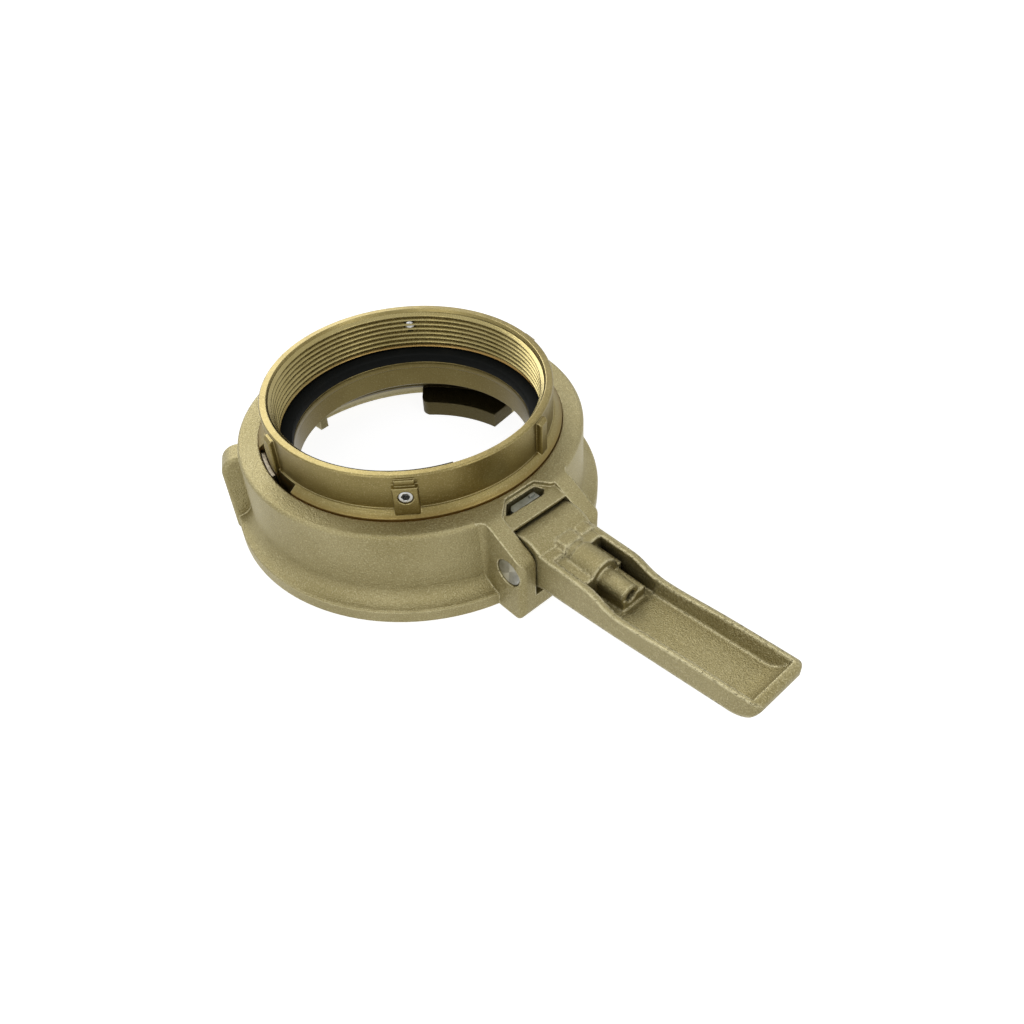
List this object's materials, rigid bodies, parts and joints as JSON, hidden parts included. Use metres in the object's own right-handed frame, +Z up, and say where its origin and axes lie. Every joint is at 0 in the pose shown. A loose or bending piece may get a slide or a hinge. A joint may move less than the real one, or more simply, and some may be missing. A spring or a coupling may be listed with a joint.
{
  "type": "quarter turn hose coupling",
  "caption": "Brass hose coupling: a swivelling body with an internal hose thread in a clawed ring, with an eccentric locking lever on its side.",
  "frame": {"origin": "on the swivel axis, in the plane of the ring's underside", "axes": "+Z up the swivel axis towards the hose thread, +X along the locking lever"},
  "size_m": [0.2685, 0.16, 0.0584],
  "materials": {
    "cast_brass": "blasted, satin, worn bright on the edges",
    "turned_brass": "turned, satin",
    "lever_brass": "blasted casting, satin",
    "steel_pin": "turned end",
    "steel_bright": "bright zinc",
    "steel_plate": "zinc plated, dull",
    "seal_rubber": "matt"
  },
  "bodies": {
    "ring": {"coupling_ring": "cast_brass"},
    "swivel_body": {"threaded_body": "turned_brass", "thread_seal": "seal_rubber", "face_seal": "seal_rubber", "retaining_wire": "steel_bright", "set_screw_front": "steel_bright", "set_screw_rear": "steel_bright"},
    "lever": {"lever": "lever_brass", "lever_pin": "steel_pin", "lever_lock_pin": "steel_bright"},
    "shoe": {"pressure_shoe": "steel_plate"}
  },
  "joints": [
    {"name": "swivel", "type": "hinge", "parent": "ring", "child": "swivel_body", "pos_m": [0, 0, 0], "axis": [0, 0, 1], "continuous": true},
    {"name": "lever_pivot", "type": "hinge", "parent": "ring", "child": "lever", "pos_m": [0.083, 0, 0.0223], "axis": [0, -1, 0], "range_deg": [0, 50]},
    {"name": "shoe_slide", "type": "slide", "parent": "ring", "child": "shoe", "axis": [-1, 0, 0], "range_m": [0, 0.0016]}
  ],
  "couplings": [
    {"joint": "shoe_slide", "follows": "lever_pivot", "m_per_rad": 0.0018333}
  ]
}
